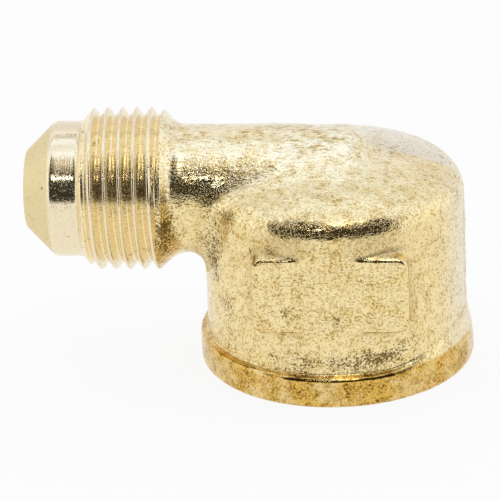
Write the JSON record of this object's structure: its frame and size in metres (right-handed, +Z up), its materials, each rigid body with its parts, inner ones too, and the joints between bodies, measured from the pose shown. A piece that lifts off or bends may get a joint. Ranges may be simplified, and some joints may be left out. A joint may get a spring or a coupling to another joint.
{
  "type": "flare elbow",
  "caption": "Forged brass 90 degree pipe elbow with a male 45 degree flare end and a larger female pipe port with a low collar.",
  "frame": {"origin": "centre of the female port's mouth face, on the port's axis", "axes": "+Z up along the port's axis, away from its mouth; the flare end points to -X; +Y completes the right-handed frame"},
  "size_m": [0.0432, 0.0268, 0.0252],
  "materials": {
    "brass": "forged and tumbled, with machined ends"
  },
  "bodies": {
    "root": {"forged_elbow": "brass"}
  },
  "joints": []
}
